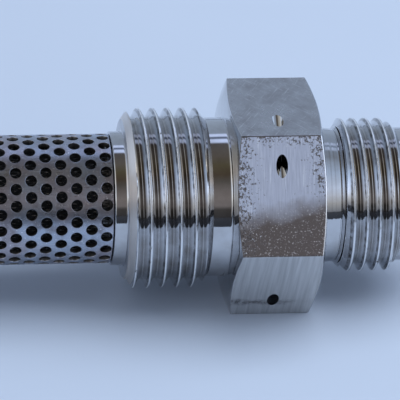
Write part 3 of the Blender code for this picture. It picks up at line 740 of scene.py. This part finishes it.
def fitting_body():
    """One skin: neck, boss thread, relief, hexagon, relief, inlet thread, nose and the stepped bore."""
    neck_end = span("fitting_body")[0]
    boss, inlet = BOSS_THREAD, INLET_THREAD
    nose_cone = (inlet.end_radius - NOSE_FACE) / math.tan(NOSE_ANGLE)
    neck = rounded([(neck_end, 5.85), (neck_end, NECK_RADIUS, 0.2), (boss.start, NECK_RADIUS, 0.25),
                    (boss.start, boss.start_radius)])
    boss_relief = rounded([(boss.end, boss.end_radius), (-HEX_HALF, boss.end_radius, 0.35),
                           (-HEX_HALF, HEX_FACE)])
    inlet_relief = rounded([(HEX_HALF, HEX_FACE), (HEX_HALF, RELIEF_RADIUS, 0.35), (6.05, RELIEF_RADIUS)])
    inlet_relief += [(x, RELIEF_RADIUS - RELIEF_SLOPE * (x - 6.1) + tool_marks(x))
                     for x in spaced(6.1, 7.92, 24)]
    inlet_relief += rounded([(7.98, RIM_FOOT), (8.08, RIM_FOOT, 0.03), (8.12, 8.36, 0.02),
                             (8.40, 8.54, 0.02), (8.42, RIM_FOOT, 0.02), (8.49, RIM_FOOT, 0.02),
                             (8.51, 8.8, 0.02), (inlet.start, inlet.start_radius)])
    inside = rounded([(inlet.end, inlet.end_radius), (NOSE_END - nose_cone, inlet.end_radius, 0.5),
                      (NOSE_END, NOSE_FACE, 0.12), (NOSE_END, INLET_BORE, 0.12), (15.4, INLET_BORE, 0.04),
                      (15.4, SCREEN_GROOVE, 0.04), (14.3, SCREEN_GROOVE, 0.04), (14.3, INLET_BORE, 0.04),
                      (13.5, INLET_BORE, 0.1), (13.5, THROAT, 0.12), (6.2, THROAT, 0.12),
                      (6.2, CHAMBER, 0.1), (-11.3, CHAMBER, 0.04), (-11.3, VALVE_GROOVE, 0.04),
                      (-12.5, VALVE_GROOVE, 0.04), (-12.5, CHAMBER, 0.04), (neck_end + 0.25, CHAMBER),
                      (neck_end, 5.85)])[:-1]
    mouth = inside.index(min(inside, key=lambda point: math.dist(point, (NOSE_END, INLET_BORE))))
    draft = Draft(hexagon_angles(BODY_STEPS, ACROSS_FLATS, HEX_ROUNDING))
    runs = [[draft.ring(circle(*point)) for point in points]
            for points in (neck, boss_relief, inlet_relief, inside)]
    for rings in runs:
        for ring, (first, second) in enumerate(zip(rings, rings[1:])):
            in_bore = rings is runs[-1] and ring >= mouth
            draft.join(first, second, BORE_ZONE if in_bore else TURNED_ZONE)
    neck_rings, boss_rings, inlet_rings, inside_rings = runs
    draft.join(inside_rings[-1], neck_rings[0])
    boss.lay(draft, neck_rings[-1], boss_rings[0], BOSS_ZONE)
    inlet.lay(draft, inlet_rings[-1], inside_rings[0], INLET_ZONE)
    parts = (0, 0.25, 0.5, 0.75, 1, 3)
    left = [draft.ring(chamfer_edge(-HEX_HALF, part)) for part in parts]
    right = [draft.ring(chamfer_edge(HEX_HALF, part)) for part in reversed(parts)]
    rings = [boss_rings[-1], *left, *right, inlet_rings[0]]
    for first, second in zip(rings, rings[1:]):
        zone = TURNED_ZONE
        if first in left[-2:] or first in right[:1]:
            zone = flat_zone
        elif first in left[1:-2]:
            zone = left_edge_zone
        draft.join(first, second, zone)
    piece = draft.make("body_of_fitting", [TURNED, HEX_FLAT, HEX_FRONT, HEX_LOW, HEX_DARK_EDGE,
                                           thread_steel("boss_thread", boss, BOSS_DULL_END),
                                           thread_steel("inlet_thread", inlet), BORE])
    corner_radius = ACROSS_FLATS / 2 / math.cos(TWELFTH)
    holes = []
    for corner in LOCKWIRE_CORNERS:
        angle = math.radians(corner)
        holes.append((place(0, corner_radius - LOCKWIRE_BELOW_CORNER, angle),
                      Vector((0, -math.sin(angle), math.cos(angle))), LOCKWIRE_RADIUS, ACROSS_FLATS / 2))
    drill(piece, holes)
    for face in piece.data.polygons:
        from_axis = (face.center - place(0, 0, 0)).dot(face.normal) / MM
        if abs(face.normal.x) < CLOSE and abs(from_axis - ACROSS_FLATS / 2) < CLOSE:
            face.use_smooth = False     # or the long faces beside the holes catch odd reflections
    return piece


# ---- the guard tube

HOLES_ROUND = 24
HOLE_ROWS = 12
HOLE_RADIUS = 0.71
ROW_SPACING = 1.84
FIRST_ROW = 0.8
HOLE_PHASE = math.radians(5.5)
GUARD_WALL = 0.7
HOLE_SIDES = 24
HALF_CELL = 4           # columns from the middle of a cell to its edge
SIDE_PARTS = 4          # parts of each side of a cell


def guard_tube():
    """A tube with staggered rows of round holes. Each hole has a hexagonal cell of its own, outside and
    inside, and its rim is broken a little."""
    low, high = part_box("guard_tube")
    left, right = span("guard_tube")
    outer = (high.z - low.z) / 2 / MM
    inner = outer - GUARD_WALL
    pitch = TURN / HOLES_ROUND
    half = pitch / 2 * outer
    tip = (ROW_SPACING ** 2 + half ** 2) / (2 * ROW_SPACING)
    shoulder = ROW_SPACING - tip
    columns = HOLES_ROUND * 2 * HALF_CELL
    draft = Draft([HOLE_PHASE + angle for angle in even_angles(columns)])
    shared = {}

    def shared_point(x, column, radius):
        key = (round(x, 3), column % columns, radius)
        if key not in shared:
            shared[key] = draft.add(x, radius, HOLE_PHASE + TURN * column / columns)
        return shared[key]

    first_edge = FIRST_ROW - 0.01
    last_edge = 1.3
    rim = ((0.075, outer), (0.05, outer), (0.015, outer - 0.012), (0, outer - 0.045),
           (0, inner + 0.03), (0.03, inner))
    for row in range(HOLE_ROWS):
        x = right - FIRST_ROW - row * ROW_SPACING
        ahead = (first_edge, first_edge) if row == 0 else (tip, shoulder)
        behind = (last_edge, last_edge) if row == HOLE_ROWS - 1 else (tip, shoulder)
        cell = [(ahead[0], 0), (ahead[1], HALF_CELL), (-behind[1], HALF_CELL), (-behind[0], 0),
                (-behind[1], -HALF_CELL), (ahead[1], -HALF_CELL)]
        edge = []
        for (dx, column), (next_dx, next_column) in zip(cell, cell[1:] + cell[:1]):
            for part in range(SIDE_PARTS):
                edge.append((dx + (next_dx - dx) * part / SIDE_PARTS,
                             column + (next_column - column) * part // SIDE_PARTS))
        for hole in range(HOLES_ROUND):
            middle = (2 * hole + row % 2) * HALF_CELL
            angle = HOLE_PHASE + TURN * middle / columns
            rings = [[shared_point(x + dx, middle + column, outer) for dx, column in edge]]
            for wider, radius in rim:
                rings.append([draft.add(x + (HOLE_RADIUS + wider) * math.cos(turn), radius,
                                        angle + (HOLE_RADIUS + wider) * math.sin(turn) / outer)
                              for turn in even_angles(HOLE_SIDES)])
            rings.append([shared_point(x + dx, middle + column, inner) for dx, column in edge])
            for ring, (first, second) in enumerate(zip(rings, rings[1:])):
                # The hole walls take the second material, with the painted shade.
                draft.join(first, second, 0 if ring < 4 else 1)
    last_row = right - FIRST_ROW - (HOLE_ROWS - 1) * ROW_SPACING - last_edge
    ends, far = ([[shared_point(x, column, radius) for column in range(columns)]
                  for radius in (outer, inner)] for x in (right - FIRST_ROW + first_edge, last_row))
    lip = [draft.ring(circle(x, radius)) for x, radius in
           ((right, outer - 0.01), (right, inner + 0.01))]
    tail = [draft.ring(circle(x, radius)) for x, radius in
            ((left + 0.12, outer), (left + 0.03, outer - 0.02), (left, outer - 0.1), (left, inner + 0.06),
             (left + 0.06, inner))]
    draft.chain([ends[0], *lip, ends[1]])
    draft.chain([far[0], *tail, far[1]])
    return draft.make("perforated_guard", [SATIN, SHADED_HOLE_WALL])


def mesh_sleeve():
    """Woven wire: long wires that pass over and under hoops."""
    left, right = span("mesh_sleeve")
    radius, hoops, longs = 6.8, 27, 128
    wave, long_wire, hoop_wire, margin = 0.055, 0.062, 0.045, 0.15
    spacing = (right - left - 2 * margin) / (hoops - 1)
    draft = Draft()
    for wire in range(longs):
        angle = TURN * wire / longs
        path = []
        for step in range(2 * hoops - 1):
            lift = wave * (step % 2 - 1) * (1 if (step // 2 + wire) % 2 else -1)
            path.append((place(left + margin + spacing * step / 2, radius + lift, angle), outward(angle)))
        draft.tube(path, long_wire, 5)
    for hoop in range(hoops):
        x = left + margin + spacing * hoop
        path = []
        for step in range(longs):
            lift = wave * (1 if (hoop + step) % 2 else -1)
            angle = TURN * step / longs
            path.append((place(x, radius + lift * 0.6, angle), outward(angle)))
        draft.tube(path, hoop_wire, 5, closed=True)
    return draft.make("woven_sleeve", [WEAVE], sharp=80)


# ---- inner pieces

# Roundings of edges.
EDGE = 0.06
SEAL_EDGE = 0.3
RING_EDGE = 0.05
RING_GAP = math.radians(50)


def drilled_core():
    """Cross holes in turn through the height and the width of the tube."""
    first, spacing, count, radius, length = -23.2, 2.3, 6, 0.6, 7.8
    piece = turned("drilled_core_tube", cad_outline("core_tube", EDGE, degrees=45), DULL)
    across = (Vector((0, 0, 1)), Vector((0, 1, 0)))
    return drill(piece, [(place(first - spacing * row, 0, 0), across[row % 2], radius, length)
                         for row in range(count)])


def ported_guide():
    ports, circle_radius, radius, length = 6, 3.6, 1.0, 4
    piece = turned("ported_spring_guide", cad_outline("spring_guide", EDGE), BRIGHT)
    middle = sum(span("spring_guide")) / 2
    return drill(piece, [(place(middle, circle_radius, angle), Vector((1, 0, 0)), radius, length)
                         for angle in even_angles(ports)])


def coil():
    """The valve spring: four open turns between two closed ones."""
    left, right = -9.0, -0.9
    wire, closed_turn, turns, per_turn = 0.3, 0.65, 6, 40
    open_turn = (right - left - 2 * closed_turn) / (turns - 2)
    draft = Draft()
    path = []
    x = left
    for step in range(turns * per_turn + 1):
        angle = TURN * step / per_turn
        path.append((place(x, 2.7, angle), outward(angle)))
        at_end = step < per_turn or step >= (turns - 1) * per_turn
        x += (closed_turn if at_end else open_turn) / per_turn
    draft.tube(path, wire, 12)
    return draft.make("coil_of_valve_spring", [SPRING])


def flat_ring(left, right, inner, outer):
    """The outline of a flat ring with rounded edges."""
    corners = ((left, inner), (left, outer), (right, outer), (right, inner))
    return rounded([(*corner, RING_EDGE) for corner in corners], closed=True)


def split_ring(name, node, inner, outer):
    """A flat ring with a gap at its top."""
    left, right = span(node)
    outline = flat_ring(left, right, inner, outer)
    start = TURN / 4 + RING_GAP / 2
    draft = Draft([start + (TURN - RING_GAP) * step / FINE_STEPS for step in range(FINE_STEPS + 1)])
    rings = [draft.ring(circle(*point)) for point in outline]
    for first, second in zip(rings, rings[1:] + rings[:1]):
        draft.join(first, second, closed=False)
    draft.face([ring[0] for ring in rings])
    draft.face([ring[-1] for ring in rings])
    return draft.make(name, [SPRING])


def woven_disc():
    """The inlet screen: a rim and a plain weave across it."""
    left, right = span("inlet_screen")
    middle = (left + right) / 2
    rim, reach, wires, wire_radius = 4.8, 4.55, 23, 0.07
    spacing = 2 * reach / wires
    draft = Draft(even_angles(FINE_STEPS))
    rings = [draft.ring(circle(*point)) for point in flat_ring(left, right, rim - 0.4, rim)]
    draft.chain(rings, closed=True)
    for turn in (0, 1):
        for wire in range(wires):
            offset = (wire + 0.5) * spacing - reach
            length = math.sqrt(reach ** 2 - offset ** 2)
            path = []
            for step in range(wires):
                along = (step + 0.5) * spacing - reach
                if abs(along) > length:
                    continue
                lift = wire_radius * (1 if (wire + step + turn) % 2 else -1)
                spot = (along, offset) if turn else (offset, along)
                path.append((place(middle + lift, 0, 0) + Vector((0, *spot)) * MM, Vector((1, 0, 0))))
            if len(path) > 2:
                draft.tube(path, wire_radius, 6)
    return draft.make("woven_inlet_screen", [MESH], sharp=80)


def hexagon_screw():
    """The screw that holds the cap, with a chamfered hexagon head."""
    end, tip = span("cap_screw")
    across_flats, rounding, shank = 5.5, 0.08, 1.5
    chamfer = math.tan(math.radians(25))
    under_head = max(x for x, radius, _ in cad_outline("cap_screw", 0) if radius > 2)
    face = across_flats / 2 * 0.93

    def head(setback, narrower):
        def section(angle):
            radius = hexagon_radius(across_flats, rounding, angle)
            return end + (radius - face) * chamfer + setback, radius - narrower
        return section

    def straight(x):
        return lambda angle: (x, hexagon_radius(across_flats, rounding, angle))

    draft = Draft(hexagon_angles(FINE_STEPS, across_flats, rounding))
    start = [draft.add(tip, 0, 0)] * len(draft.angles)
    finish = [draft.add(end, 0, 0)] * len(draft.angles)
    sections = [circle(tip, shank - 0.4), circle(tip - 0.4, shank), circle(under_head + 0.1, shank),
                circle(under_head, shank + 0.1), circle(under_head, face), straight(under_head - 0.05),
                head(0.04, 0), head(-0.01, 0.02), circle(end, face - 0.02), circle(end, face - 0.2)]
    rings = [start, *(draft.ring(section) for section in sections), finish]
    draft.chain(rings)
    return draft.make("hexagon_cap_screw", [BRIGHT])


# ---- the whole fitting

def relathed(node, name, material, rounding=EDGE):
    """A node's own outline turned again, with rounded edges."""
    return turned(name, cad_outline(node, rounding), material)


# node: (piece, slot)
PIECES = {
    "fitting_body": (fitting_body(), "turned_stainless"),
    "guard_tube": (guard_tube(), "satin_stainless"),
    "mesh_sleeve": (mesh_sleeve(), "woven_wire"),
    "porous_sleeve": (relathed("porous_sleeve", "ceramic_sleeve", CERAMIC), "porous_ceramic"),
    "front_gasket": (relathed("front_gasket", "front_sleeve_gasket", PTFE), "ptfe"),
    "rear_gasket": (relathed("rear_gasket", "rear_sleeve_gasket", PTFE), "ptfe"),
    "core_tube": (drilled_core(), "bright_stainless"),
    "core_o_ring": (relathed("core_o_ring", "o_ring_of_core", RUBBER, SEAL_EDGE), "black_rubber"),
    "end_cap": (relathed("end_cap", "turned_end_cap", CAP_SATIN, 0.08), "satin_stainless"),
    "cap_washer": (relathed("cap_washer", "washer_of_cap", PTFE), "ptfe"),
    "cap_screw": (hexagon_screw(), "bright_stainless"),
    "valve_seat": (relathed("valve_seat", "seat_of_valve", BRIGHT), "bright_stainless"),
    "seat_o_ring": (relathed("seat_o_ring", "o_ring_of_seat", RUBBER, SEAL_EDGE), "black_rubber"),
    "poppet": (relathed("poppet", "valve_poppet", BRIGHT), "bright_stainless"),
    "poppet_seal": (relathed("poppet_seal", "seal_disc", RUBBER), "black_rubber"),
    "valve_spring": (coil(), "spring_steel"),
    "spring_guide": (ported_guide(), "bright_stainless"),
    "valve_retaining_ring": (split_ring("ring_of_valve", "valve_retaining_ring", 4.7, 6.0), "spring_steel"),
    "inlet_screen": (woven_disc(), "woven_wire"),
    "screen_retaining_ring": (split_ring("ring_of_screen", "screen_retaining_ring", 4.1, 5.35),
                              "spring_steel"),
}
for node, (piece, slot) in PIECES.items():
    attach(piece, "poppet" if node in ("poppet", "poppet_seal") else "fitting")
    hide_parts(node)
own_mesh(PIECES["valve_spring"][0])


# ---- floor, light and camera

REACH = 3.0


def sheet(name, material, light, dark, far=REACH, height=0.0):
    """A level, dull, slightly cloudy sheet that ends at y = far."""
    s = Shading(material)
    s.set(Base_Color=s.mix(s.noise(0.02), light, dark), Roughness=0.9)
    mesh = bpy.data.meshes.new(name)
    mesh.from_pydata([(-REACH, -REACH, height), (REACH, -REACH, height), (REACH, far, height),
                      (-REACH, far, height)], [], [(0, 1, 2, 3)])
    mesh.materials.append(s.material)
    return new_object(name, mesh)


# What the metal mirrors, by the direction round the fitting's axis in degrees: straight out from the axis,
# and off towards the left and the right end. Lights, dark ceiling, dark edge of the table.
STRAIGHT = ((0, (0.42, 0.52, 0.69)), (24, (0.36, 0.44, 0.56)), (46, (0.33, 0.40, 0.52)),
            (48, (0.80, 0.95, 1.35)), (52, (0.80, 0.95, 1.35)), (54, (0.16, 0.20, 0.30)),
            (57, (0.16, 0.20, 0.30)), (59, (0.80, 0.95, 1.35)), (64, (0.80, 0.95, 1.35)),
            (67, (0.12, 0.115, 0.12)), (90, (0.13, 0.115, 0.10)), (104, (0.11, 0.095, 0.06)),
            (118, (0.09, 0.07, 0.05)), (128, (0.11, 0.10, 0.09)), (140, (0.19, 0.17, 0.165)),
            (152, (0.24, 0.215, 0.21)), (163, (0.22, 0.20, 0.20)), (168, (0.07, 0.066, 0.065)),
            (190, (0.03, 0.032, 0.04)))
LEFTWARD = ((0, (0.30, 0.36, 0.47)), (50, (0.32, 0.36, 0.43)), (66, (0.40, 0.42, 0.44)),
            (88, (0.50, 0.49, 0.46)), (112, (0.66, 0.62, 0.58)), (134, (0.66, 0.72, 0.82)),
            (152, (0.70, 0.72, 0.74)), (165, (0.46, 0.46, 0.46)), (178, (0.36, 0.38, 0.42)),
            (190, (0.18, 0.21, 0.25)))
RIGHTWARD = ((0, (0.34, 0.44, 0.62)), (58, (0.34, 0.43, 0.58)), (80, (0.30, 0.36, 0.46)),
             (110, (0.55, 0.69, 0.93)), (140, (0.80, 0.93, 1.18)),
             (152, (0.70, 0.77, 0.90)), (165, (0.50, 0.51, 0.53)),
             (178, (0.28, 0.30, 0.34)), (190, (0.05, 0.06, 0.07)))
ROOM = (0.34, 0.40, 0.50)


def sky():
    """A studio round the fitting, and an even pale room where nothing mirrors it."""
    world = bpy.data.worlds.new("studio")
    bpy.context.scene.world = world
    world.use_nodes = True
    world.node_tree.nodes.clear()
    s = Nodes(world.node_tree)

    def rise(value, low, high, start=0.0, end=1.0):
        return s.ramp(value, low, high, start, end, interpolation_type="SMOOTHSTEP")

    def bands(table):
        node = s.add("ValToRGB", {0: around})
        elements = node.color_ramp.elements
        elements.remove(elements[1])
        for index, (angle, colour) in enumerate(table):
            element = elements.new(angle / 360) if index else elements[0]
            element.position = angle / 360
            element.color = (*colour, 1)
        return node.outputs[0]

    x, y, z = s.add("SeparateXYZ", {0: s.add("TexCoord").outputs["Generated"]}).outputs
    around = s.math("FRACT", s.plus(s.math("DIVIDE", s.math("ARCTAN2", z, y), TURN), 1.0))
    colour = s.mix(rise(x, -0.14, -0.5), bands(STRAIGHT), bands(LEFTWARD))
    colour = s.mix(rise(x, 0.18, 0.45), colour, bands(RIGHTWARD))
    gain = s.plus(rise(s.math("ABSOLUTE", x), 0.5, 0.95, 1.0, 2.2), rise(x, 0.92, 0.97, 0.0, 1.6))
    bright = s.add("VectorMath", {0: colour, "Scale": gain}, operation="SCALE").outputs[0]
    mirrored = s.add("LightPath").outputs["Is Glossy Ray"]
    background = s.add("Background", {0: s.mix(mirrored, ROOM, bright)}).outputs[0]
    s.add("OutputWorld", {0: background})


def key_light():
    """A large soft light above the fitting that no metal mirrors."""
    light = bpy.data.lights.new("key", "AREA")
    light.shape = "RECTANGLE"
    light.size = light.size_y = 0.6
    light.energy = 3.2
    light.color = (0.78, 0.87, 1.0)
    lamp = new_object("key", light)
    lamp.location = (0.26, 0.0, 0.55)
    lamp.rotation_euler = (-lamp.location).to_track_quat("-Z", "Y").to_euler()
    lamp.visible_glossy = False


def camera():
    """The photograph's angle: a long lens, 30 degrees above the table, turned a little about its axis."""
    azimuth, elevation, roll = (math.radians(angle) for angle in (-8.333, 30.345, 3.261))
    distance = 0.4451
    target = Vector((HEX_X - 8.44, 0, AXIS_Z - 0.465)) * MM
    back = Vector((math.sin(azimuth) * math.cos(elevation), -math.cos(azimuth) * math.cos(elevation),
                   math.sin(elevation)))
    right = (-back).cross(Vector((0, 0, 1))).normalized()
    up = right.cross(-back)
    local_x = right * math.cos(roll) + up * math.sin(roll)
    local_y = up * math.cos(roll) - right * math.sin(roll)
    lens = bpy.data.cameras.new("camera")
    lens.lens = 322.9
    lens.sensor_width = 36
    lens.clip_start, lens.clip_end = 0.01, 20
    view = new_object("camera", lens)
    turn = Matrix((local_x, local_y, back)).transposed().to_4x4()
    view.matrix_world = Matrix.Translation(target + back * distance) @ turn
    bpy.context.scene.camera = view


sheet("floor", "pale_floor", (0.60, 0.66, 0.76), (0.63, 0.69, 0.79))
sky()
# The dark edge of the table in front of the fitting, which only the metal sees.
table_edge = sheet("dark_edge", "dark_edge", (0.02, 0.022, 0.028), (0.03, 0.032, 0.04), -0.066, 0.00005)
table_edge.visible_camera = table_edge.visible_diffuse = table_edge.visible_shadow = False
key_light()
camera()
bpy.context.scene.view_settings.view_transform = "Standard"
